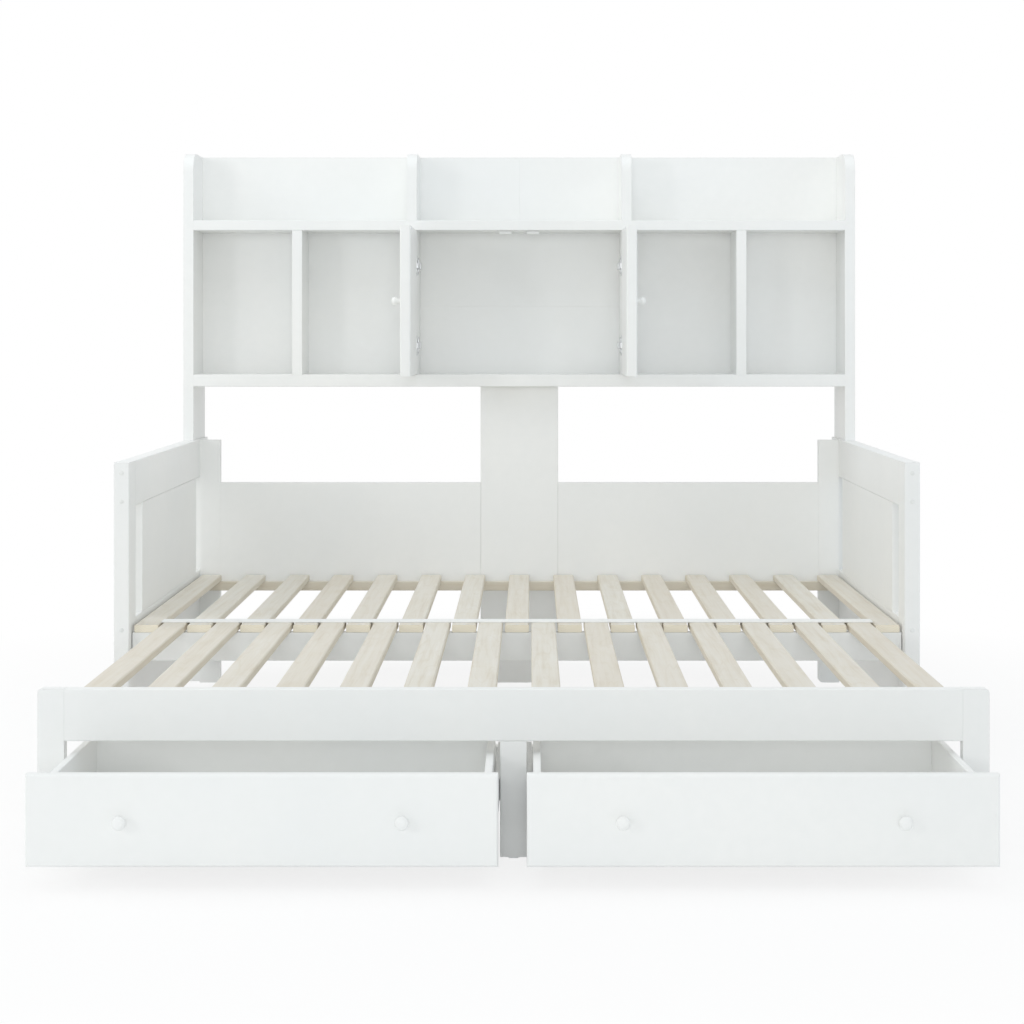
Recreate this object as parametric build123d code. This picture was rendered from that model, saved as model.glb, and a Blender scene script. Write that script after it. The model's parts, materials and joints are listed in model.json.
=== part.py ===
from build123d import *
import os
from math import cos, hypot, radians, sin, tan

# Pull-out daybed with a hutch, in millimetres.
# X runs across the bed, Y from the front to the back, Z up from the floor.
# The bed is drawn with Y = 0 at the front faces of its end panels. It is moved at the end, so that
# the origin is on the floor under the middle of the open bed.
# The bed is drawn pulled out, with both drawers part open and both hutch doors open.

# End panels: two posts, two rails and a centre panel, with two upright slots left open
bed_width = 2007.0
bed_depth = 1170.0
end_height = 734.0
end_thick = 38.5
front_post_width = 80.0
rear_post_width = 122.0
slot_width = 85.0
top_rail_height = 113.0
bottom_rail_top = 340.0
bottom_rail_low = 95.0
board_ease = 1.5

# Rear wall of the bed
wall_inset = 143.0
corner_board_width = 62.0
corner_board_thick = 22.0
corner_board_drop = 2.0
corner_board_foot_radius = 14.0
centre_board_width = 234.0
back_panel_thick = 18.0
back_panel_low = 280.0
back_panel_top = 604.0

# Slats and the two bearers that carry them
slat_width = 60.0
slat_thick = 19.0
slat_ease = 2.5
slat_count = 15
slat_side_gap = 6.8
slat_seat = 307.0
slat_end_gap = 7.0
bearer_height = 27.0
ledger_depth = 20.0
apron_front = 30.0
apron_thick = 22.0
apron_low = 236.0
apron_end_gap = 2.0
bracket_leg = 40.0
bracket_height = 42.0
bracket_steel = 2.0

# Hutch
hutch_depth = 203.0
hutch_top = 1594.0
hutch_board = 30.0
hutch_corner_radius = 54.0
bottom_shelf_low = 895.0
bottom_shelf_thick = 36.0
upper_bay_height = 202.0
hutch_back_inset = 166.0
hutch_back_thick = 18.0
outer_divider_x = 664.0
door_divider_x = 321.0
centre_back_seam = 1137.0
housing_depth = 2.0
plate_length = 60.0
plate_height = 36.0
plate_steel = 1.5
plate_cut = 4.0
plate_front_inset = 15.0
plate_rear_inset = 20.0

# Hutch doors
door_thick = 30.0
door_ease = 3.0
door_gap = 1.5
door_swing = 90.0
corner_play = 0.5
door_knob_inset = 35.0
door_knob_head = 23.0
door_knob_height = 26.0
strike_width = 24.0
strike_height = 8.0
strike_steel = 1.0
strike_drop = 1.0
strike_from_edge = 40.0
catch_width = 37.0
catch_height = 9.5
catch_depth = 15.0

# Concealed hinges of the doors
hinge_low = 87.0
hinge_high = 105.0
cup_diameter = 35.0
cup_depth = 13.0
cup_wall = 0.8
cup_from_edge = 22.5
cup_bore_play = 0.2
flange_length = 60.0
flange_width = 40.0
flange_cut = 9.0
flange_thick = 1.0
stop_width = 10.0
stop_inset = 0.8
axle_reach = 9.04
axle_angle = 5.0
link_turn = 30.0
link_width = 16.0
link_steel = 2.2
link_eye = 3.0
link_elbow_height = 2.0
link_bend = 4.0
hinge_pin = 3.0
hinge_play = 0.05
cheek_steel = 1.5
cheek_radius = 3.4
arm_start = 14.0
arm_length = 40.0
arm_rise = 7.0
base_plate_thick = 2.0
base_plate_length = 26.0
base_plate_height = 50.0
base_plate_cut = 7.0

# Pull-out frame, whose slats still lie on the bed for a short reach when it is pulled out
closed_gap = 4.0
frame_side_gap = 6.0
frame_thick = 25.0
leg_width = 53.5
leg_radius = 8.0
centre_leg_width = 54.0
glide_size = 20.0
glide_thick = 3.0
front_rail_low = 236.0
front_rail_top = 341.0
slat_housing = 12.0
slat_reach = 105.0
tie_bar_width = 43.0
tie_bar_thick = 3.5
tie_bar_overhang = 5.0

# Drawer bay inside the pull-out frame
bay_depth = 430.0
bay_rail_thick = 25.0
bay_rail_low = 80.0
bay_rail_top = 165.0
back_rail_low = 90.0
back_rail_top = 133.0

# Drawers
drawer_open = 199.0
drawer_front_low = 42.0
drawer_front_top = 219.0
drawer_front_thick = 20.0
drawer_front_overlap = 23.0
drawer_front_radius = 6.0
drawer_side_thick = 15.0
drawer_side_low = 50.0
drawer_side_top = 212.0
drawer_box_length = 384.0
drawer_bottom_thick = 6.0
drawer_bottom_rise = 10.0
drawer_groove = 6.0
knob_spacing = 536.0
knob_head = 26.0
knob_height = 25.0

# Ball-bearing slides of the drawers
slide_length = 350.0
slide_thick = 12.7
slide_height = 45.0
slide_centre = 133.0
slide_steel = 1.2

# Shape of every knob, as shares of its head's diameter and of its height
knob_foot_share = 0.62
knob_waist_share = 0.5
knob_waist_height = 0.3
knob_rim_height = 0.64

# Clearance between pieces that slide or swing past each other
running_gap = 0.3

# How far a cutting shape runs past the piece that it cuts
overrun = 1.0

# Places worked out from the driving dimensions
half_width = bed_width / 2
half_inner = half_width - end_thick
top_rail_low = end_height - top_rail_height
wall_front = bed_depth - wall_inset
slat_top = slat_seat + slat_thick
slat_pitch = (2 * (half_inner - slat_side_gap) - slat_width) / (slat_count - 1)
ledger_front = wall_front - ledger_depth
pull_out = wall_front - closed_gap - slat_reach
hutch_front = bed_depth - hutch_depth
hutch_half_inner = half_width - hutch_board
bottom_shelf_top = bottom_shelf_low + bottom_shelf_thick
upper_shelf_top = hutch_top - upper_bay_height
upper_shelf_low = upper_shelf_top - hutch_board
hutch_back_front = hutch_front + hutch_back_inset

# A hinge in plan, measured from the door's axis. The nose of the link turns with the door about that
# axis. The pin lies where a link of constant length reaches the nose both with the door open and with
# it closed, while the link itself turns by link_turn.
half_swing = radians(door_swing / 2)
nose_angle = radians(axle_angle)
hinge_nose = (axle_reach * cos(nose_angle), axle_reach * sin(nose_angle))
pin_reach = axle_reach * (cos(half_swing) + sin(half_swing) / tan(radians(link_turn / 2)))
hinge_pin_place = (pin_reach * cos(nose_angle + half_swing), pin_reach * sin(nose_angle + half_swing))
stop_height = hinge_pin_place[0] - link_steel / 2 - running_gap - door_thick / 2
stop_reach = flange_width / 2 - stop_inset

door_low = bottom_shelf_top + door_gap
door_top = upper_shelf_low - door_gap
door_axis = (-door_divider_x, hutch_front + door_thick / 2)
door_width = door_divider_x + door_thick / 2 - door_gap
corner_sweep = hypot(door_thick / 2, door_thick / 2 - door_ease)
stop_sweep = hypot(door_thick / 2 + stop_height, door_thick / 2 - cup_from_edge + stop_reach)
divider_front = door_axis[1] + max(corner_sweep, stop_sweep) + corner_play
hinge_heights = (bottom_shelf_top + hinge_low, upper_shelf_low - hinge_high)

frame_front = -pull_out
frame_back = frame_front + frame_thick
frame_half = half_inner - frame_side_gap
frame_half_inner = frame_half - leg_width
centre_half = centre_leg_width / 2
moving_slat_low = slat_seat + running_gap
moving_slat_top = moving_slat_low + slat_thick
bay_back = frame_back + bay_depth

box_start = frame_front - drawer_open
drawer_inner_x = centre_half + slide_thick
drawer_outer_x = frame_half_inner - slide_thick
drawer_front_x = (centre_half, frame_half_inner + drawer_front_overlap)
drawer_box_back = box_start + drawer_box_length
drawer_middle_x = sum(drawer_front_x) / 2
drawer_middle_z = (drawer_front_low + drawer_front_top) / 2

foremost = box_start - drawer_front_thick - knob_height
origin_shift = -(foremost + bed_depth) / 2


def prism(profile, axis, low, high):
    """Extrude a profile, drawn in the plane square to the axis, from low to high."""
    if axis == "X":
        return extrude(Plane.YZ.offset(low) * profile, amount=high - low)
    if axis == "Y":
        return extrude(Plane.XZ.offset(-low) * profile, amount=low - high)
    return extrude(Plane.XY.offset(low) * profile, amount=high - low)


def rectangle(across, up, cut=0.0):
    """A rectangle over two spans, with its corners cut at 45 degrees where a cut is given."""
    shape = Pos(sum(across) / 2, sum(up) / 2) * Rectangle(across[1] - across[0], up[1] - up[0])
    return chamfer(shape.vertices(), cut) if cut else shape


def plank(x, y, z, along, ease=board_ease):
    """A board over three spans, with the four edges along one axis eased."""
    spans = {"X": (y, z, x), "Y": (x, z, y), "Z": (x, y, z)}[along]
    return prism(rectangle(spans[0], spans[1], ease), along, *spans[2])


def mirrored(*solids):
    """The same pieces on the other side of the bed."""
    return [mirror(solid, about=Plane.YZ) for solid in solids]


def pair(*solids):
    """Pieces drawn on one side, with their mirror images."""
    return [*solids, *mirrored(*solids)]


def save(name, *solids):
    """Write one sub-part, moved to the frame of the whole bed."""
    pieces = [Pos(0, origin_shift, 0) * solid for solid in solids]
    whole = pieces[0] if len(pieces) == 1 else Compound(children=pieces)
    export_step(whole, f"parts/{name}.step")


def save_sides(name, *solids):
    """Write a sub-part drawn on the left, and its twin on the right."""
    save(f"left_{name}", *solids)
    save(f"right_{name}", *mirrored(*solids))


def turned_knob(head, height):
    """A mushroom knob on the XY plane, turned about the Z axis, with a domed crown."""
    foot = (head * knob_foot_share / 2, 0)
    waist = (head * knob_waist_share / 2, height * knob_waist_height)
    rim = (head / 2, height * knob_rim_height)
    crown = (0, height)
    outline = [
        Line((0, 0), foot),
        Line(foot, waist),
        Line(waist, rim),
        TangentArc(crown, rim, tangent=(1, 0)),
        Line(crown, (0, 0)),
    ]
    return revolve(Plane.XZ * make_face(outline), Axis.Z)


def end_panels():
    """Posts, rails and centre panels of both end panels."""
    x = (half_inner, half_width)
    rear_post_front = bed_depth - rear_post_width
    between = (front_post_width, rear_post_front)
    panel = (front_post_width + slot_width, rear_post_front - slot_width)
    save("front_posts", *pair(plank(x, (0, front_post_width), (0, end_height), "Z")))
    save("rear_posts", *pair(plank(x, (rear_post_front, bed_depth), (0, end_height), "Z")))
    save("top_rails", *pair(plank(x, between, (top_rail_low, end_height), "Y")))
    save("bottom_rails", *pair(plank(x, between, (bottom_rail_low, bottom_rail_top), "Y")))
    save("side_panels", *pair(plank(x, panel, (bottom_rail_top, top_rail_low), "Z")))


def rear_wall():
    """Boards and panels behind the slats, all flush at the front."""
    board_inner = half_inner - corner_board_width
    board_y = (wall_front, wall_front + corner_board_thick)
    outline = rectangle((board_inner, half_inner), (0, end_height - corner_board_drop))
    foot = outline.vertices().sort_by(Axis.Y)[:2].sort_by(Axis.X)[0]
    outline = fillet(foot, corner_board_foot_radius)
    corner = prism(outline, "Y", *board_y)
    centre = (-centre_board_width / 2, centre_board_width / 2)
    panel_y = (wall_front, wall_front + back_panel_thick)
    panel_z = (back_panel_low, back_panel_top)
    save("corner_boards", *pair(corner))
    save("centre_board", plank(centre, board_y, (0, bottom_shelf_low), "Z"))
    save_sides("back_panel", plank((-board_inner, centre[0]), panel_y, panel_z, "X"))


def slat_bearers():
    """The ledger on the rear wall, and the apron with the brackets that hold its ends."""
    ledger_z = (slat_seat - bearer_height, slat_seat)
    save("rear_ledger", plank((-half_inner, half_inner), (ledger_front, wall_front), ledger_z, "X"))
    apron_half = half_inner - apron_end_gap
    apron_back = apron_front + apron_thick
    apron_z = (apron_low, slat_seat)
    save("front_apron", plank((-apron_half, apron_half), (apron_front, apron_back), apron_z, "X"))
    corner = rectangle((half_inner - bracket_leg, half_inner), (apron_back, apron_back + bracket_leg))
    hollow = rectangle(
        (half_inner - bracket_leg - overrun, half_inner - bracket_steel),
        (apron_back + bracket_steel, apron_back + bracket_leg + overrun),
    )
    bracket_low = (apron_low + slat_seat - bracket_height) / 2
    bracket = prism(corner - hollow, "Z", bracket_low, bracket_low + bracket_height)
    save("apron_brackets", *pair(bracket))


def slat(x, y, low):
    """One slat centred on x."""
    return plank((x - slat_width / 2, x + slat_width / 2), y, (low, low + slat_thick), "Y", slat_ease)


def slat_places(count):
    """Middles of a row of slats, the same distance apart and centred on the bed."""
    return [slat_pitch * (i - (count - 1) / 2) for i in range(count)]


def fixed_slats():
    """Slats that stay on the bed, from the front face of the apron to the rear wall."""
    y = (apron_front, wall_front - slat_end_gap)
    save("fixed_slats", *[slat(x, y, slat_seat) for x in slat_places(slat_count)])


def standing_outline(y, z):
    """Side view of an upright board whose front top corner is rounded."""
    outline = rectangle(y, z)
    corner = outline.vertices().sort_by(Axis.Y)[-2:].sort_by(Axis.X)[0]
    return fillet(corner, hutch_corner_radius)


def hutch():
    """Sides, shelves, dividers and back boards, with the plates that join the sides to the bed.

    Dividers and backs stand in shallow housings in the shelf below them.
    """
    y = (hutch_front, bed_depth)
    inside_y = (hutch_front, hutch_back_front)
    back_y = (hutch_back_front, hutch_back_front + hutch_back_thick)
    width = (-hutch_half_inner, hutch_half_inner)
    cabinet_foot = bottom_shelf_top - housing_depth
    upper_foot = upper_shelf_top - housing_depth
    cabinet_z = (cabinet_foot, upper_shelf_low)
    half_board = hutch_board / 2
    outer = (outer_divider_x - half_board, outer_divider_x + half_board)
    inner = (door_divider_x - half_board, door_divider_x + half_board)

    side = prism(standing_outline(y, (end_height, hutch_top)), "X", -half_width, -hutch_half_inner)
    save("hutch_left_side", side)
    save("hutch_right_side", *mirrored(side))

    outer_boards = pair(plank(outer, inside_y, cabinet_z, "Z", 0))
    door_boards = pair(plank(inner, (divider_front, hutch_back_front), cabinet_z, "Z"))
    upper_boards = pair(prism(standing_outline(inside_y, (upper_foot, hutch_top)), "X", *inner))
    save("outer_dividers", *outer_boards)
    save("door_dividers", *door_boards)
    save("upper_dividers", *upper_boards)

    cubby_x = (inner[0], hutch_half_inner)
    centre_x = (-inner[0], inner[0])
    seam = centre_back_seam
    cubby_backs = pair(plank(cubby_x, back_y, (cabinet_foot, upper_shelf_top), "X", 0))
    centre_spans = ((cabinet_foot, seam), (seam, upper_shelf_top))
    centre_backs = [plank(centre_x, back_y, span, "X", 0) for span in centre_spans]
    save("cubby_backs", *cubby_backs)
    save("centre_backs", *centre_backs)
    save("top_backs", *pair(plank((0, hutch_half_inner), back_y, (upper_shelf_top, hutch_top), "Z", 0)))

    bottom_shelf = plank(width, y, (bottom_shelf_low, bottom_shelf_top), "X")
    upper_shelf = plank(width, inside_y, (upper_shelf_low, upper_shelf_top), "X")
    save("hutch_bottom_shelf", bottom_shelf - [*outer_boards, *door_boards, *cubby_backs, centre_backs[0]])
    save("hutch_upper_shelf", upper_shelf - upper_boards)

    plate_z = (end_height - plate_height / 2, end_height + plate_height / 2)
    plate_starts = (hutch_front + plate_front_inset, bed_depth - plate_rear_inset - plate_length)
    plates = [
        prism(rectangle((y, y + plate_length), plate_z, plate_cut), "X", half_width, half_width + plate_steel)
        for y in plate_starts
    ]
    save("joining_plates", *pair(*plates))


def hinge_link():
    """The hooked link from the arm's pin round the door's edge into the cup, in plan."""
    pin = Pos(*hinge_pin_place)
    elbow = (hinge_pin_place[0], link_elbow_height)
    hook = trace(FilletPolyline(hinge_nose, elbow, hinge_pin_place, radius=link_bend), link_steel)
    shape = hook + pin * Circle(link_eye) - pin * Circle(hinge_pin / 2 + hinge_play)
    return prism(shape, "Z", -link_width / 2, link_width / 2)


def hinge_arm():
    """Base plate on the divider, and the arm whose two cheeks hold the pin of the link."""
    pin = Pos(*hinge_pin_place)
    face = door_thick / 2
    start = divider_front - door_axis[1] + arm_start
    end = start + arm_length
    foot = face + base_plate_thick
    top = foot + arm_rise
    cheek = make_hull((pin * RegularPolygon(cheek_radius, 8) + rectangle((foot, top), (start, end))).edges())
    inner = link_width / 2 + running_gap
    outer = inner + cheek_steel
    cheeks = [prism(cheek, "Z", inner, outer), prism(cheek, "Z", -outer, -inner)]
    web = prism(rectangle((top - cheek_steel, top), (start, end)), "Z", -inner, inner)
    rivet = prism(pin * Circle(hinge_pin / 2), "Z", -inner, inner)
    plate_y = ((start + end - base_plate_length) / 2, (start + end + base_plate_length) / 2)
    plate_z = (-base_plate_height / 2, base_plate_height / 2)
    plate = prism(rectangle(plate_y, plate_z, base_plate_cut), "X", face, foot)
    sole = prism(rectangle((face, foot), (start, end)), "Z", -outer, outer)
    return plate + sole + cheeks + web + rivet


def hinge_cup():
    """Flanged cup with its flange on the XY plane, its body below and its opening stop on the flange."""
    flange_x = (-flange_length / 2, flange_length / 2)
    flange_y = (-flange_width / 2, flange_width / 2)
    flange = extrude(rectangle(flange_x, flange_y, flange_cut), flange_thick)
    body = extrude(Circle(cup_diameter / 2), -cup_depth)
    hollow = Pos(0, 0, cup_wall - cup_depth) * extrude(
        Circle(cup_diameter / 2 - cup_wall), cup_depth + flange_thick
    )
    stop = extrude(rectangle((-stop_width / 2, stop_width / 2), (cup_diameter / 2, stop_reach)), stop_height)
    return flange + body + stop - hollow


def doors():
    """Hutch doors, open at a right angle, each leaf with its knob, and their hinges, strikes and catches."""
    axis_x, axis_y = door_axis
    half = door_thick / 2
    outer_face = axis_x - half
    inner_face = axis_x + half
    hinge_edge = axis_y + half
    free_edge = hinge_edge - door_width
    door_y = (free_edge, hinge_edge)
    door = plank((outer_face, inner_face), door_y, (door_low, door_top), "Z", door_ease)
    cup_y = hinge_edge - cup_from_edge
    bore = Cylinder(cup_diameter / 2 + cup_bore_play, 2 * cup_depth + 2 * cup_bore_play)
    cup_places = [Pos(inner_face, cup_y, z) * Rot(Y=90) for z in hinge_heights]
    door -= [place * bore for place in cup_places]
    knob_place = Pos(outer_face, free_edge + door_knob_inset, (door_low + door_top) / 2) * Rot(Y=-90)
    save_sides("door", door, knob_place * turned_knob(door_knob_head, door_knob_height))
    save_sides("hinge_cups", *[place * hinge_cup() for place in cup_places])

    strike_middle = free_edge + strike_from_edge
    strike_y = (strike_middle - strike_width / 2, strike_middle + strike_width / 2)
    strike_z = (door_top - strike_drop - strike_height, door_top - strike_drop)
    strike = prism(rectangle(strike_y, strike_z), "X", inner_face, inner_face + strike_steel)
    save_sides("strike_plate", strike)

    catch_x = strike_from_edge + door_gap
    catch_front = hutch_front + door_thick + strike_steel + running_gap
    catch = plank(
        (catch_x - catch_width / 2, catch_x + catch_width / 2),
        (catch_front, catch_front + catch_depth),
        (upper_shelf_low - catch_height, upper_shelf_low),
        "X",
    )
    save("door_catches", *pair(catch))

    hinge_places = [Pos(axis_x, axis_y, z) for z in hinge_heights]
    save_sides("hinge_links", *[place * hinge_link() for place in hinge_places])
    save("hinge_arms", *pair(*[place * hinge_arm() for place in hinge_places]))


def pull_out_frame():
    """Front rail, legs and glides, the slats housed in the rail, and the bar across their ends."""
    y = (frame_front, frame_back)
    leg_x = (-frame_half, -frame_half_inner)
    outline = rectangle(leg_x, (glide_thick, front_rail_top))
    top = outline.vertices().sort_by(Axis.Y)[-2:].sort_by(Axis.X)[0]
    leg = prism(fillet(top, leg_radius), "Y", *y)
    save_sides("front_leg", leg)
    centre_x = (-centre_half, centre_half)
    save("centre_leg", plank(centre_x, y, (glide_thick, front_rail_low), "Z"))
    leg_middles = (sum(leg_x) / 2, 0, -sum(leg_x) / 2)
    half_glide = glide_size / 2
    middle_y = (frame_front + frame_back) / 2
    glide_y = (middle_y - half_glide, middle_y + half_glide)
    glide_spans = [(x - half_glide, x + half_glide) for x in leg_middles]
    save("leg_glides", *[prism(rectangle(span, glide_y), "Z", 0, glide_thick) for span in glide_spans])

    rail = plank((-frame_half_inner, frame_half_inner), y, (front_rail_low, front_rail_top), "X")
    places = slat_places(slat_count - 1)
    slats = [slat(x, (frame_back - slat_housing, slat_reach), moving_slat_low) for x in places]
    save("front_rail", rail - slats)
    save("pull_out_slats", *slats)
    bar_half = places[-1] + slat_width / 2 + tie_bar_overhang
    bar_y = (slat_reach - tie_bar_width, slat_reach)
    bar_z = (moving_slat_top, moving_slat_top + tie_bar_thick)
    save("tie_bar", plank((-bar_half, bar_half), bar_y, bar_z, "X", 1))


def drawer_bay():
    """Rails and stretcher behind the legs, with the fixed members of the drawer slides."""
    rail_z = (bay_rail_low, bay_rail_top)
    side_x = (frame_half_inner, frame_half_inner + bay_rail_thick)
    side = plank(side_x, (frame_back, bay_back), rail_z, "Y")
    centre = plank((-centre_half, centre_half), (frame_back, bay_back - bay_rail_thick), rail_z, "Y")
    save("bay_rails", *pair(side), centre)
    back_y = (bay_back - bay_rail_thick, bay_back)
    back_x = (-frame_half_inner, frame_half_inner)
    save("bay_stretcher", plank(back_x, back_y, (back_rail_low, back_rail_top), "X"))


def channel(web, tips, half_height, y):
    """A steel channel along Y, with its web at one x and its open side at the other."""
    outward = 1 if tips > web else -1
    outer = rectangle(sorted((web, tips)), (slide_centre - half_height, slide_centre + half_height))
    clear = half_height - slide_steel
    hollow_x = sorted((web + outward * slide_steel, tips + outward * overrun))
    hollow = rectangle(hollow_x, (slide_centre - clear, slide_centre + clear))
    return prism(outer - hollow, "Y", *y)


def slide_members(mount_x, toward):
    """Outer, middle and inner member of one slide, from the bay's rail towards the drawer's side."""
    start = frame_back
    end = start + slide_length
    step = slide_steel + running_gap
    half = slide_height / 2
    drawer_x = mount_x + toward * slide_thick
    outer = channel(mount_x, drawer_x - toward * 2 * step, half, (start, end))
    middle_y = (start - drawer_open / 2, end - drawer_open / 2)
    middle = channel(mount_x + toward * step, drawer_x - toward * step, half - step, middle_y)
    inner_y = (start - drawer_open, end - drawer_open)
    inner = channel(drawer_x, mount_x + toward * 2 * step, half - 2 * step, inner_y)
    return outer, middle, inner


def drawer_slides():
    """Four slides, two for each drawer."""
    slides = [slide_members(-frame_half_inner, 1), slide_members(-centre_half, -1)]
    save("slide_outer_members", *pair(*[members[0] for members in slides]))
    save_sides("slide_middles", *[members[1] for members in slides])
    save_sides("slide_inners", *[members[2] for members in slides])


def drawers():
    """Overlay fronts with round knobs, on boxes whose bottoms sit in grooves."""
    front_x = (-drawer_front_x[1], -drawer_front_x[0])
    front_face = box_start - drawer_front_thick
    front = prism(rectangle(front_x, (drawer_front_low, drawer_front_top)), "Y", front_face, box_start)
    front = fillet(front.faces().sort_by(Axis.Y)[0].edges(), drawer_front_radius)

    box_z = (drawer_side_low, drawer_side_top)
    box_y = (box_start, drawer_box_back)
    outer_side = plank((-drawer_outer_x, drawer_side_thick - drawer_outer_x), box_y, box_z, "Y")
    inner_side = plank((-drawer_inner_x - drawer_side_thick, -drawer_inner_x), box_y, box_z, "Y")
    back_x = (drawer_side_thick - drawer_outer_x, -drawer_inner_x - drawer_side_thick)
    back_y = (drawer_box_back - drawer_side_thick, drawer_box_back)
    back = plank(back_x, back_y, box_z, "X")

    bottom_low = drawer_side_low + drawer_bottom_rise
    bottom_z = (bottom_low, bottom_low + drawer_bottom_thick)
    bottom_x = (back_x[0] - drawer_groove, back_x[1] + drawer_groove)
    bottom_y = (box_start, back_y[0] + drawer_groove)
    bottom = plank(bottom_x, bottom_y, bottom_z, "X", 0)
    save_sides("drawer_front", front)
    save_sides("drawer_box", outer_side - bottom, inner_side - bottom, back - bottom)
    save_sides("drawer_bottom", bottom)

    middle = -drawer_middle_x
    places = [Pos(middle + side * knob_spacing / 2, front_face, drawer_middle_z) for side in (-1, 1)]
    save_sides("drawer_knobs", *[place * Rot(X=90) * turned_knob(knob_head, knob_height) for place in places])


os.makedirs("parts", exist_ok=True)
end_panels()
rear_wall()
slat_bearers()
fixed_slats()
hutch()
doors()
pull_out_frame()
drawer_bay()
drawer_slides()
drawers()
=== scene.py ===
import bmesh
import bpy
import json
import math
from mathutils import Matrix, Vector


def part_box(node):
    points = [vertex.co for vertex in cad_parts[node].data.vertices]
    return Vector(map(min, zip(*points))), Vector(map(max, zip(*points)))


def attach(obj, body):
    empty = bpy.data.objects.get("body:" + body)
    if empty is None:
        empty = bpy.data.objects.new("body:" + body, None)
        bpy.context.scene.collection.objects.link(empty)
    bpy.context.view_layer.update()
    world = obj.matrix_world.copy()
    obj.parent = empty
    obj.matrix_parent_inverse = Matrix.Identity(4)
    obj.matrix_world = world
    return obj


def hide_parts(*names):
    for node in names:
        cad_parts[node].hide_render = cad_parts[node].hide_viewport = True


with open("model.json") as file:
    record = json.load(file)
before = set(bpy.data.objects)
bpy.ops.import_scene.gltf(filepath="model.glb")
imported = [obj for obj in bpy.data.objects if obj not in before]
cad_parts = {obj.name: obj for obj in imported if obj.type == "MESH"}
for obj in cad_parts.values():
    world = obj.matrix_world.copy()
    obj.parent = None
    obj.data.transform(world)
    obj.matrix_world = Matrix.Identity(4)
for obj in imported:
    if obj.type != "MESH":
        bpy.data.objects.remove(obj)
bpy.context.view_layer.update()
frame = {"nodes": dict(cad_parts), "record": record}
nodes = frame["nodes"]
MM = 0.001


# Camera: level, in front of the bed where the photograph was taken

CAMERA_X = 35.6 * MM
CAMERA_HEIGHT = 1065 * MM
CAMERA_DISTANCE = 4818 * MM
FOCAL_LENGTH = 68.06
SENSOR_WIDTH = 36
CLIP_END = 100
SHIFT_X = -0.0187
SHIFT_Y = -0.178
END_PANEL_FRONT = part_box("front_posts")[0].y


def add_camera():
    data = bpy.data.cameras.new("camera")
    data.lens = FOCAL_LENGTH
    data.sensor_width = SENSOR_WIDTH
    data.shift_x = SHIFT_X
    data.shift_y = SHIFT_Y
    data.clip_end = CLIP_END
    camera = bpy.data.objects.new("camera", data)
    camera.location = (CAMERA_X, END_PANEL_FRONT - CAMERA_DISTANCE, CAMERA_HEIGHT)
    camera.rotation_euler = (math.radians(90), 0, 0)
    bpy.context.scene.collection.objects.link(camera)
    bpy.context.scene.camera = camera


# Node helpers

BEVEL_SAMPLES = 4


class Shader:
    """A material's node tree, with short calls for the nodes that the materials here use."""

    def __init__(self, name):
        self.material = bpy.data.materials.new(name)
        self.material.use_nodes = True
        self.tree = self.material.node_tree
        self.principled = self.tree.nodes["Principled BSDF"]
        self.output = self.tree.nodes["Material Output"]

    def add(self, kind, **settings):
        node = self.tree.nodes.new(kind)
        for name, value in settings.items():
            setattr(node, name, value)
        return node

    def plug(self, source, target):
        if isinstance(source, (int, float, tuple, list)):
            target.default_value = source
        else:
            self.tree.links.new(source, target)

    def place(self):
        """Coordinates in the frame of the row, in metres, which stay with the piece as it moves."""
        return self.add("ShaderNodeTexCoord").outputs["Object"]

    def scaled(self, vector, scale):
        node = self.add("ShaderNodeMapping")
        self.plug(vector, node.inputs["Vector"])
        self.plug(scale, node.inputs["Scale"])
        return node.outputs[0]

    def noise(self, vector, scale, detail=3.0, roughness=0.5, distortion=0.0):
        node = self.add("ShaderNodeTexNoise")
        self.plug(vector, node.inputs["Vector"])
        node.inputs["Scale"].default_value = scale
        node.inputs["Detail"].default_value = detail
        node.inputs["Roughness"].default_value = roughness
        node.inputs["Distortion"].default_value = distortion
        return node.outputs[0]

    def math(self, operation, a, b=0.0):
        node = self.add("ShaderNodeMath", operation=operation)
        self.plug(a, node.inputs[0])
        self.plug(b, node.inputs[1])
        return node.outputs[0]

    def spread(self, value, low, high, to_low, to_high):
        """Map a value from one span to another, held at its ends."""
        node = self.add("ShaderNodeMapRange")
        self.plug(value, node.inputs["Value"])
        names = ("From Min", "From Max", "To Min", "To Max")
        for name, number in zip(names, (low, high, to_low, to_high)):
            node.inputs[name].default_value = number
        return node.outputs[0]

    def blend(self, share, a, b):
        node = self.add("ShaderNodeMix", data_type="RGBA")
        self.plug(share, node.inputs["Factor"])
        self.plug(a, node.inputs[6])
        self.plug(b, node.inputs[7])
        return node.outputs[2]

    def ramp(self, value, stops):
        node = self.add("ShaderNodeValToRGB")
        self.plug(value, node.inputs["Fac"])
        elements = node.color_ramp.elements
        while len(elements) < len(stops):
            elements.new(0.5)
        for element, (position, colour) in zip(elements, stops):
            element.position = position
            element.color = colour
        return node.outputs["Color"]

    def bump(self, height, distance, strength, normal):
        node = self.add("ShaderNodeBump")
        self.plug(height, node.inputs["Height"])
        node.inputs["Distance"].default_value = distance
        node.inputs["Strength"].default_value = strength
        self.plug(normal, node.inputs["Normal"])
        return node.outputs[0]

    def soft_edges(self, radius):
        """Shading that rounds the hard edges of the board by a radius."""
        node = self.add("ShaderNodeBevel", samples=BEVEL_SAMPLES)
        node.inputs["Radius"].default_value = radius
        return node.outputs[0]


def rgb(red, green, blue):
    """An sRGB colour, 0 to 255, as the linear colour that a shader takes."""
    return tuple(((c / 255 + 0.055) / 1.055) ** 2.4 for c in (red, green, blue)) + (1,)


# Materials

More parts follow.
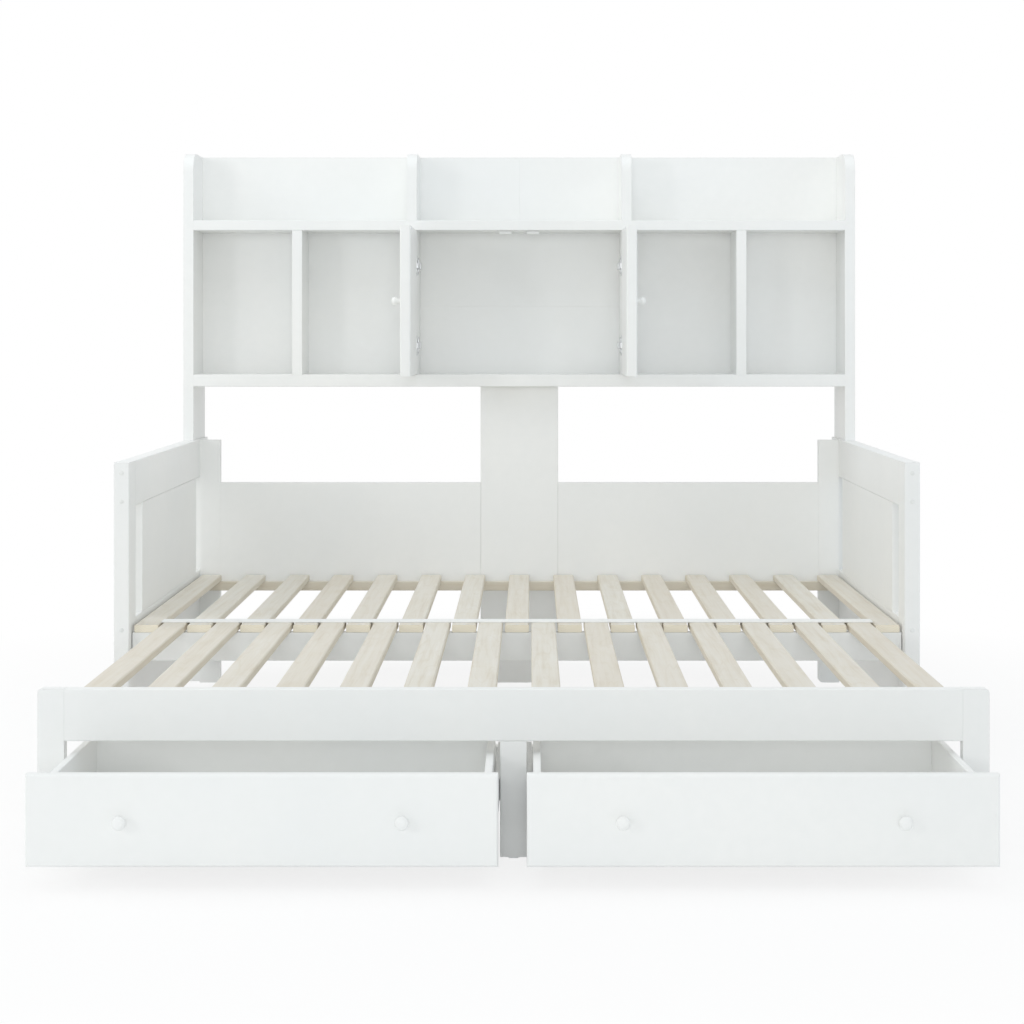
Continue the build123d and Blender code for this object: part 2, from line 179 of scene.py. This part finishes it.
def painted_board():
    """Satin white paint rolled on smooth board."""
    s = Shader("painted_board")
    place = s.place()
    clouds = s.noise(place, 2.3, 3)
    mottle = s.noise(place, 38, 4, 0.6)
    tone = s.blend(s.spread(clouds, 0.35, 0.65, 0, 1), rgb(243, 244, 243), rgb(247, 247, 245))
    tone = s.blend(s.spread(mottle, 0.3, 0.7, 0, 0.35), tone, rgb(241, 242, 240))
    speck = s.noise(place, 900, 1)
    tone = s.blend(s.spread(speck, 0.74, 0.8, 0, 0.1), tone, rgb(218, 219, 216))
    s.plug(tone, s.principled.inputs["Base Color"])
    s.plug(s.spread(s.noise(place, 16, 5), 0.3, 0.7, 0.36, 0.5), s.principled.inputs["Roughness"])
    s.principled.inputs["Specular IOR Level"].default_value = 0.4
    peel = s.noise(place, 420, 2, 0.4)
    waves = s.noise(place, 26, 2)
    edges = s.soft_edges(1.5 * MM)
    rolled = s.bump(waves, 0.35 * MM, 0.25, edges)
    s.plug(s.bump(peel, 0.06 * MM, 0.35, rolled), s.principled.inputs["Normal"])
    return s.material


PITH_HEIGHT = 0.285
RINGS_PER_METRE = 260.0


def natural_wood(along, pitch=None):
    """Pale slat wood with a thin whitish seal, its grain along one axis.

    With a pitch, each slat gets its own tone and its own stretch of grain."""
    s = Shader("natural_wood_" + along)
    across = {"X": "Y", "Y": "X"}[along]
    place = s.place()
    split = s.add("ShaderNodeSeparateXYZ")
    s.plug(place, split.inputs[0])
    if pitch:
        index = s.math("ROUND", s.math("MULTIPLY", split.outputs["X"], 2 / pitch))
        centre = s.math("MULTIPLY", index, pitch / 2)
        cell = s.add("ShaderNodeTexWhiteNoise", noise_dimensions="1D")
        s.plug(index, cell.inputs["W"])
        own = cell.outputs["Value"]
        shift = s.add("ShaderNodeVectorMath", operation="SCALE")
        s.plug(cell.outputs["Color"], shift.inputs[0])
        shift.inputs["Scale"].default_value = 9.0
        moved = s.add("ShaderNodeVectorMath", operation="ADD")
        s.plug(place, moved.inputs[0])
        s.plug(shift.outputs[0], moved.inputs[1])
        grained = moved.outputs[0]
    else:
        centre, own, grained = 1.0, 0.5, place
    stretch = {"X": (0.04, 1, 1), "Y": (1, 0.04, 1)}[along]
    fibres = s.noise(s.scaled(grained, stretch), 480, 3, 0.6)
    streaks = s.noise(s.scaled(grained, stretch), 85, 4, 0.55, 0.3)
    figure = s.noise(s.scaled(grained, {"X": (0.1, 1, 1), "Y": (1, 0.1, 1)}[along]), 17, 2, 0.5, 0.9)
    wash = s.noise(grained, 11, 4, 0.6)
    tone = s.ramp(s.spread(streaks, 0.25, 0.75, 0, 1), [
        (0.0, rgb(219, 211, 196)),
        (0.45, rgb(230, 225, 213)),
        (1.0, rgb(236, 233, 225)),
    ])
    rings = s.math("PINGPONG", s.math("MULTIPLY", figure, 6.0), 0.5)
    tone = s.blend(s.spread(rings, 0.0, 0.14, 0.2, 0.0), tone, rgb(205, 193, 166))
    tone = s.blend(s.spread(fibres, 0.3, 0.65, 0.14, 0.0), tone, rgb(203, 194, 174))
    tone = s.blend(s.spread(wash, 0.35, 0.7, 0.0, 0.4), tone, rgb(236, 234, 228))
    tone = s.blend(s.math("MULTIPLY", own, 0.35), tone, rgb(221, 209, 191))
    normal = s.add("ShaderNodeNewGeometry").outputs["Normal"]
    facing = s.add("ShaderNodeSeparateXYZ")
    s.plug(normal, facing.inputs[0])
    end = s.spread(s.math("ABSOLUTE", facing.outputs[along]), 0.6, 0.9, 0, 1)
    # Painted shade: faces turned across the grain, the sides of the slats and the front and back of the
    # ledger, are painted darker and warmer.
    side = s.spread(s.math("ABSOLUTE", facing.outputs[across]), 0.6, 0.9, 0, 0.4)
    tone = s.blend(side, tone, rgb(219, 206, 180))
    out = s.math("SUBTRACT", split.outputs[across], centre)
    aside = s.math("ADD", out, s.math("MULTIPLY", s.math("SUBTRACT", own, 0.5), 0.05))
    below = s.math("SUBTRACT", split.outputs["Z"], PITH_HEIGHT)
    squares = s.math("ADD", s.math("MULTIPLY", aside, aside), s.math("MULTIPLY", below, below))
    radius = s.math("SQRT", squares)
    waver = s.math("MULTIPLY", s.noise(grained, 30, 2), 1.6)
    wavy = s.math("ADD", s.math("MULTIPLY", radius, RINGS_PER_METRE), waver)
    years = s.math("PINGPONG", wavy, 0.5)
    end_tone = s.blend(s.spread(years, 0.0, 0.3, 0.55, 0.0), rgb(247, 240, 223), rgb(229, 216, 190))
    pores = s.noise(place, 1100, 2)
    end_tone = s.blend(s.spread(pores, 0.5, 0.75, 0.0, 0.3), end_tone, rgb(222, 208, 178))
    tone = s.blend(end, tone, end_tone)
    s.plug(tone, s.principled.inputs["Base Color"])
    s.plug(s.spread(fibres, 0.3, 0.7, 0.5, 0.68), s.principled.inputs["Roughness"])
    s.principled.inputs["Specular IOR Level"].default_value = 0.3
    edges = s.soft_edges(1.2 * MM)
    grain = s.bump(streaks, 0.2 * MM, 0.3, edges)
    s.plug(s.bump(fibres, 0.1 * MM, 0.4, grain), s.principled.inputs["Normal"])
    return s.material


def steel(name="steel", screws=None):
    """Zinc plated steel, faintly mottled.

    With screws, four flush cross head screws show in each plate, whose outer faces may carry nothing proud;
    the groove round each head and its cross recess are painted dark as painted shade, besides their bump.
    They are given as the middle between the two plates, half the distance of the plates' centres, the height
    of the centres, and how far the screws lie from a plate's centre along and up."""
    s = Shader(name)
    place = s.place()
    brushed = s.noise(s.scaled(place, (1, 1, 0.05)), 1500, 2)
    bloom = s.noise(place, 130, 4, 0.6)
    tone = s.blend(s.spread(bloom, 0.3, 0.7, 0, 1), rgb(209, 211, 213), rgb(224, 225, 226))
    height = s.math("MULTIPLY", brushed, 0.1)
    if screws:
        middle, half, level, along, up = screws
        split = s.add("ShaderNodeSeparateXYZ")
        s.plug(place, split.inputs[0])
        plate = s.math("SUBTRACT", s.math("ABSOLUTE", s.math("SUBTRACT", split.outputs["Y"], middle)), half)
        dy = s.math("SUBTRACT", s.math("ABSOLUTE", plate), along)
        dz = s.math("SUBTRACT", s.math("ABSOLUTE", s.math("SUBTRACT", split.outputs["Z"], level)), up)
        radius = s.math("SQRT", s.math("ADD", s.math("MULTIPLY", dy, dy), s.math("MULTIPLY", dz, dz)))
        from_rim = s.math("ABSOLUTE", s.math("SUBTRACT", radius, 3.9 * MM))
        groove = s.spread(from_rim, 0.2 * MM, 0.5 * MM, 1, 0)
        arms = s.math("MINIMUM", s.math("ABSOLUTE", dy), s.math("ABSOLUTE", dz))
        slot = s.spread(arms, 0.4 * MM, 0.7 * MM, 1, 0)
        cross = s.math("MULTIPLY", slot, s.spread(radius, 2 * MM, 2.4 * MM, 1, 0))
        recess_and_shade = s.math("MAXIMUM", groove, cross)
        # Painted shade: the groove round each screw head and its cross recess are darkened in colour, on top
        # of the bump that sinks them.
        tone = s.blend(s.math("MULTIPLY", recess_and_shade, 0.75), tone, rgb(92, 95, 100))
        height = s.math("SUBTRACT", height, s.math("MULTIPLY", recess_and_shade, 4.0))
    s.plug(tone, s.principled.inputs["Base Color"])
    s.principled.inputs["Metallic"].default_value = 0.9
    s.plug(s.spread(bloom, 0.3, 0.7, 0.28, 0.42), s.principled.inputs["Roughness"])
    edges = s.soft_edges(0.3 * MM)
    s.plug(s.bump(height, 0.1 * MM, 0.3, edges), s.principled.inputs["Normal"])
    return s.material


def plastic(name, colour, dark):
    """Moulded plastic with a fine spark-eroded texture."""
    s = Shader(name)
    place = s.place()
    tone = s.blend(s.spread(s.noise(place, 60, 3), 0.3, 0.7, 0, 1), colour, dark)
    s.plug(tone, s.principled.inputs["Base Color"])
    s.principled.inputs["Roughness"].default_value = 0.5
    edges = s.soft_edges(0.5 * MM)
    s.plug(s.bump(s.noise(place, 1600, 1), 0.04 * MM, 0.4, edges), s.principled.inputs["Normal"])
    return s.material


SLAT_PITCH = 132.6 * MM
paint = painted_board()
slat_wood = natural_wood("Y", SLAT_PITCH)
ledger_wood = natural_wood("X")
metal = steel()
white_plastic = plastic("white_plastic", rgb(248, 249, 249), rgb(244, 245, 245))
cap_plastic = plastic("cap_plastic", rgb(237, 238, 236), rgb(232, 233, 231))

plates_low, plates_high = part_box("joining_plates")
PLATE_LENGTH = 60 * MM
PLATE_SCREW_ALONG = 20 * MM
PLATE_SCREW_UP = 9 * MM
plate_reach = (plates_high.y - plates_low.y - PLATE_LENGTH) / 2
plate_metal = steel("plate_steel", (
    (plates_low.y + plates_high.y) / 2,
    plate_reach,
    (plates_low.z + plates_high.z) / 2,
    PLATE_SCREW_ALONG,
    PLATE_SCREW_UP,
))

finishes = {
    "painted_board": paint,
    "natural_wood": slat_wood,
    "steel": metal,
    "white_plastic": white_plastic,
}
own_finishes = {"rear_ledger": ledger_wood, "joining_plates": plate_metal}
for part in frame["record"]["subparts"]:
    node = nodes[part["node"]]
    finish = own_finishes.get(part["node"], finishes[part["material_slot"]])
    for slot in node.material_slots:
        slot.material = finish


# Small pieces, built in mesh code

def new_piece(name, mesh_in, material, body):
    """An object from a bmesh, smooth where its faces meet at a low angle, that rides on a body."""
    bmesh.ops.recalc_face_normals(mesh_in, faces=mesh_in.faces)
    mesh = bpy.data.meshes.new(name)
    mesh_in.to_mesh(mesh)
    mesh_in.free()
    mesh.shade_smooth()
    mesh.set_sharp_from_angle(angle=math.radians(38))
    mesh.materials.append(material)
    piece = bpy.data.objects.new(name, mesh)
    bpy.context.scene.collection.objects.link(piece)
    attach(piece, body)
    return piece


def placing(place, outward):
    """The matrix that stands local +Z along outward at a place."""
    return Matrix.Translation(Vector(place)) @ Vector(outward).to_track_quat("Z", "Y").to_matrix().to_4x4()


def join_rings(mesh, rings):
    for lower, upper in zip(rings, rings[1:]):
        for i in range(len(lower)):
            j = (i + 1) % len(lower)
            mesh.faces.new((lower[i], lower[j], upper[j], upper[i]))


def turn_on_lathe(mesh, matrix, profile, steps):
    """A turned body: the profile's radii and heights in mm, from its foot to its crown on the axis."""
    rings = []
    for radius, height in profile[:-1]:
        ring = []
        for i in range(steps):
            angle = 2 * math.pi * i / steps
            spot = Vector((radius * math.cos(angle), radius * math.sin(angle), height)) * MM
            ring.append(mesh.verts.new(matrix @ spot))
        rings.append(ring)
    join_rings(mesh, rings)
    crown = mesh.verts.new(matrix @ Vector((0, 0, profile[-1][1] * MM)))
    for i in range(steps):
        mesh.faces.new((rings[-1][i], rings[-1][(i + 1) % steps], crown))
    mesh.faces.new(list(reversed(rings[0])))


def cut_screw_head(mesh, matrix, radius, height):
    """A domed screw head with a cross recess; radius and height in mm."""
    arm, waist = radius * 0.58, radius * 0.17
    outline = []
    for quarter in range(4):
        turn = Matrix.Rotation(quarter * math.pi / 2, 2)
        spots = ((arm, -waist), (arm, waist), (waist, waist), (waist, arm))
        corners = [Vector(spot) for spot in spots]
        for a, b in zip(corners, corners[1:]):
            outline += [turn @ a, turn @ ((a + b) / 2)]
    steps = len(outline)
    first = math.atan2(outline[0].y, outline[0].x)
    rings = []
    for share, level in ((1, 0), (0.97, 0.45), (0.84, 0.8), (0.7, 0.95)):
        ring = []
        for i in range(steps):
            angle = first + 2 * math.pi * i / steps
            x, y = radius * share * math.cos(angle), radius * share * math.sin(angle)
            spot = Vector((x, y, height * level)) * MM
            ring.append(mesh.verts.new(matrix @ spot))
        rings.append(ring)
    for level, share in ((1.0, 1.0), (0.25, 0.8)):
        spots = [Vector((p.x * share, p.y * share, height * level)) * MM for p in outline]
        rings.append([mesh.verts.new(matrix @ spot) for spot in spots])
    join_rings(mesh, rings)
    mesh.faces.new(rings[-1])
    mesh.faces.new(list(reversed(rings[0])))


def add_screws(name, places, outward, radius, height, body):
    mesh = bmesh.new()
    for i, place in enumerate(places):
        turned = placing(place, outward) @ Matrix.Rotation(0.7 * i, 4, "Z")
        cut_screw_head(mesh, turned, radius, height)
    return new_piece(name, mesh, metal, body)


# Round knobs, larger and softer than the turned solids

DRAWER_KNOB = (
    (8.2, 0), (8.2, 0.9), (7.4, 2.0), (6.7, 4.0), (6.6, 6.4), (7.4, 8.6), (9.6, 10.6), (11.9, 12.4),
    (13.2, 14.6), (13.6, 16.8), (13.2, 19.0), (12.0, 21.2), (9.9, 23.1), (7.0, 24.4), (3.6, 24.9), (0, 25.0),
)
DOOR_KNOB = (
    (7.9, 0), (7.9, 1.0), (7.1, 2.2), (6.6, 4.5), (6.6, 7.6), (7.7, 9.8), (9.6, 12.0), (11.4, 14.2),
    (12.2, 16.6), (12.2, 18.4), (11.6, 20.6), (10.0, 23.2), (7.0, 25.2), (3.6, 26.1), (0, 26.3),
)
KNOB_STEPS = 40
CAP_STEPS = 32
DRAWER_KNOB_RADIUS = 13 * MM

for side in ("left", "right"):
    node = side + "_drawer_knobs"
    low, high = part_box(node)
    level = (low.z + high.z) / 2
    mesh = bmesh.new()
    for x in (low.x + DRAWER_KNOB_RADIUS, high.x - DRAWER_KNOB_RADIUS):
        turn_on_lathe(mesh, placing((x, high.y, level), (0, -1, 0)), DRAWER_KNOB, KNOB_STEPS)
    knobs = new_piece(side + "_turned_knobs", mesh, paint, side + "_drawer")
    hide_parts(node)

DOOR_KNOB_INSET = 35 * MM
DOOR_KNOB_REACH = 26 * MM
SIDES = (("left", -1), ("right", 1))
for side, sign in SIDES:
    low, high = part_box(side + "_door")
    face = low.x + DOOR_KNOB_REACH if sign < 0 else high.x - DOOR_KNOB_REACH
    mesh = bmesh.new()
    place = (face, low.y + DOOR_KNOB_INSET, (low.z + high.z) / 2)
    turn_on_lathe(mesh, placing(place, (sign, 0, 0)), DOOR_KNOB, KNOB_STEPS)
    new_piece(side + "_door_knob", mesh, paint, side + "_door")


# Bolt caps on the front posts, screws in slats and hinges

CAP = ((5.6, 0), (5.6, 0.35), (5.2, 0.75), (4.2, 1.05), (2.4, 1.3), (0, 1.4))
CAP_HEIGHTS = (317, 637, 708)
CAP_X = 984.25
mesh = bmesh.new()
for height in CAP_HEIGHTS:
    for x in (-CAP_X, CAP_X):
        turn_on_lathe(mesh, placing((x * MM, END_PANEL_FRONT, height * MM), (0, -1, 0)), CAP, CAP_STEPS)
new_piece("bolt_caps", mesh, cap_plastic, "daybed")

slats_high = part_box("fixed_slats")[1]
apron_low, apron_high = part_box("front_apron")
ledger_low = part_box("rear_ledger")[0]
SLAT_COUNT = 15
SCREW_RADIUS = 3.6
SLAT_SCREW_HEIGHT = 0.2  # the tie bar of the pulled-out slats passes close above
BACK_SCREW_HEIGHT = 0.8
LEDGER_SCREW_INSET = 6 * MM
slat_screws = [
    (SLAT_PITCH * (i - (SLAT_COUNT - 1) / 2), y, slats_high.z)
    for i in range(SLAT_COUNT)
    for y in ((apron_low.y + apron_high.y) / 2, ledger_low.y + LEDGER_SCREW_INSET)
]
add_screws("slat_screws", slat_screws, (0, 0, 1), SCREW_RADIUS, SLAT_SCREW_HEIGHT, "daybed")

# Rows of screws from behind, as places along X and heights in mm: dividers, upper dividers, upper shelf
BACK_SCREW_ROWS = (
    ((664, 321, -321, -664), (975, 1150, 1320)),
    ((321, -321), (1435, 1560)),
    ((860, 492, 164, -164, -492, -860), (1377,)),
)
back_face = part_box("top_backs")[1].y
back_screws = [(x * MM, back_face, z * MM) for xs, zs in BACK_SCREW_ROWS for x in xs for z in zs]
add_screws("back_screws", back_screws, (0, 1, 0), SCREW_RADIUS, BACK_SCREW_HEIGHT, "daybed")

HINGE_LEVELS = (1018 * MM, 1257 * MM)
PLATE_FACE = 304 * MM
PLATE_MIDDLE = 1034 * MM
PLATE_SCREW = 18.5 * MM
CUP_FACE = 305 * MM
CUP_MIDDLE = 964 * MM
CUP_SCREW = 24 * MM
HINGE_SCREWS = (
    ("_hinge_plate_screws", PLATE_FACE, PLATE_MIDDLE, PLATE_SCREW, 3.3, 1.1),
    ("_hinge_cup_screws", CUP_FACE, CUP_MIDDLE, CUP_SCREW, 3.2, 0.9),
)
for side, sign in SIDES:
    for (name, face, middle, step, radius, height), body in zip(HINGE_SCREWS, ("daybed", side + "_door")):
        places = [(sign * face, middle, z + up) for z in HINGE_LEVELS for up in (-step, step)]
        add_screws(side + name, places, (-sign, 0, 0), radius, height, body)


# Stage and light

SHADOW_NEAR = 1.3
SHADOW_FAR = 2.6
SHADOW_WHITE = 0.8
FLOOR_HALF = 30.0
FLOOR_COLOUR = (0.95, 0.95, 0.95, 1)
WORLD_COLOUR = (0.98, 1, 1.005, 1)
WORLD_STRENGTH = 0.61


def add_stage():
    """A white floor that keeps a soft shadow near the object and fades to plain white further out."""
    mesh = bpy.data.meshes.new("floor")
    signs = ((-1, -1), (1, -1), (1, 1), (-1, 1))
    mesh.from_pydata([(x * FLOOR_HALF, y * FLOOR_HALF, 0) for x, y in signs], [], [(0, 1, 2, 3)])
    floor = bpy.data.objects.new("floor", mesh)
    bpy.context.scene.collection.objects.link(floor)
    s = Shader("floor")
    s.tree.nodes.remove(s.principled)
    matt = s.add("ShaderNodeBsdfDiffuse")
    matt.inputs["Color"].default_value = FLOOR_COLOUR
    white = s.add("ShaderNodeEmission")
    rays = s.add("ShaderNodeLightPath")
    mix = s.add("ShaderNodeMixShader")
    seen = s.math("MAXIMUM", rays.outputs["Is Camera Ray"], rays.outputs["Is Glossy Ray"])
    away = s.add("ShaderNodeVectorMath", operation="LENGTH")
    s.plug(s.place(), away.inputs[0])
    share = s.spread(away.outputs["Value"], SHADOW_NEAR, SHADOW_FAR, SHADOW_WHITE, 1.0)
    s.plug(s.math("MULTIPLY", seen, share), mix.inputs["Fac"])
    s.plug(matt.outputs[0], mix.inputs[1])
    s.plug(white.outputs[0], mix.inputs[2])
    s.plug(mix.outputs[0], s.output.inputs["Surface"])
    mesh.materials.append(s.material)


def add_world():
    world = bpy.data.worlds.new("studio")
    world.use_nodes = True
    tree = world.node_tree
    background = tree.nodes["Background"]
    background.inputs["Color"].default_value = WORLD_COLOUR
    background.inputs["Strength"].default_value = WORLD_STRENGTH
    white = tree.nodes.new("ShaderNodeBackground")
    white.inputs["Color"].default_value = (1, 1, 1, 1)
    rays = tree.nodes.new("ShaderNodeLightPath")
    seen = tree.nodes.new("ShaderNodeMath")
    seen.operation = "MAXIMUM"
    tree.links.new(rays.outputs["Is Camera Ray"], seen.inputs[0])
    tree.links.new(rays.outputs["Is Glossy Ray"], seen.inputs[1])
    mix = tree.nodes.new("ShaderNodeMixShader")
    tree.links.new(seen.outputs[0], mix.inputs["Fac"])
    tree.links.new(background.outputs[0], mix.inputs[1])
    tree.links.new(white.outputs[0], mix.inputs[2])
    tree.links.new(mix.outputs[0], tree.nodes["World Output"].inputs["Surface"])
    bpy.context.scene.world = world


def add_lamp(name, place, target, size, power, colour):
    """A square area lamp at a place, turned to a target; size in metres, power in watts."""
    data = bpy.data.lights.new(name, "AREA")
    data.shape = "SQUARE"
    data.size = size
    data.energy = power
    data.color = colour
    lamp = bpy.data.objects.new(name, data)
    lamp.location = place
    lamp.rotation_euler = (Vector(target) - Vector(place)).to_track_quat("-Z", "Y").to_euler()
    bpy.context.scene.collection.objects.link(lamp)


add_camera()
add_stage()
add_world()
LAMPS = (  # name, place, target, size, power, colour
    ("front", (0.1, -7.5, 1.5), (0, 0, 0.8), 2.0, 69, (0.965, 1, 1.01)),
    ("key", (-4.4, -4.6, 1.9), (0, 0, 0.6), 0.9, 28, (0.99, 1, 1)),
    ("top", (0, -0.6, 4.6), (0, -0.6, 0), 4.0, 41, (0.95, 1, 1.05)),
    ("left", (-4.2, -0.6, 1.5), (0, -0.3, 0.7), 3.0, 12, (0.98, 1, 1)),
    ("left_high", (-4.0, 0.1, 3.3), (0.9, 0.4, 0.5), 1.6, 29, (0.99, 1, 0.99)),
    ("right", (4.2, -0.6, 1.5), (0, -0.3, 0.7), 3.0, 19, (0.84, 1, 1.18)),
)
for lamp in LAMPS:
    add_lamp(*lamp)

bpy.context.scene.view_settings.view_transform = "Standard"
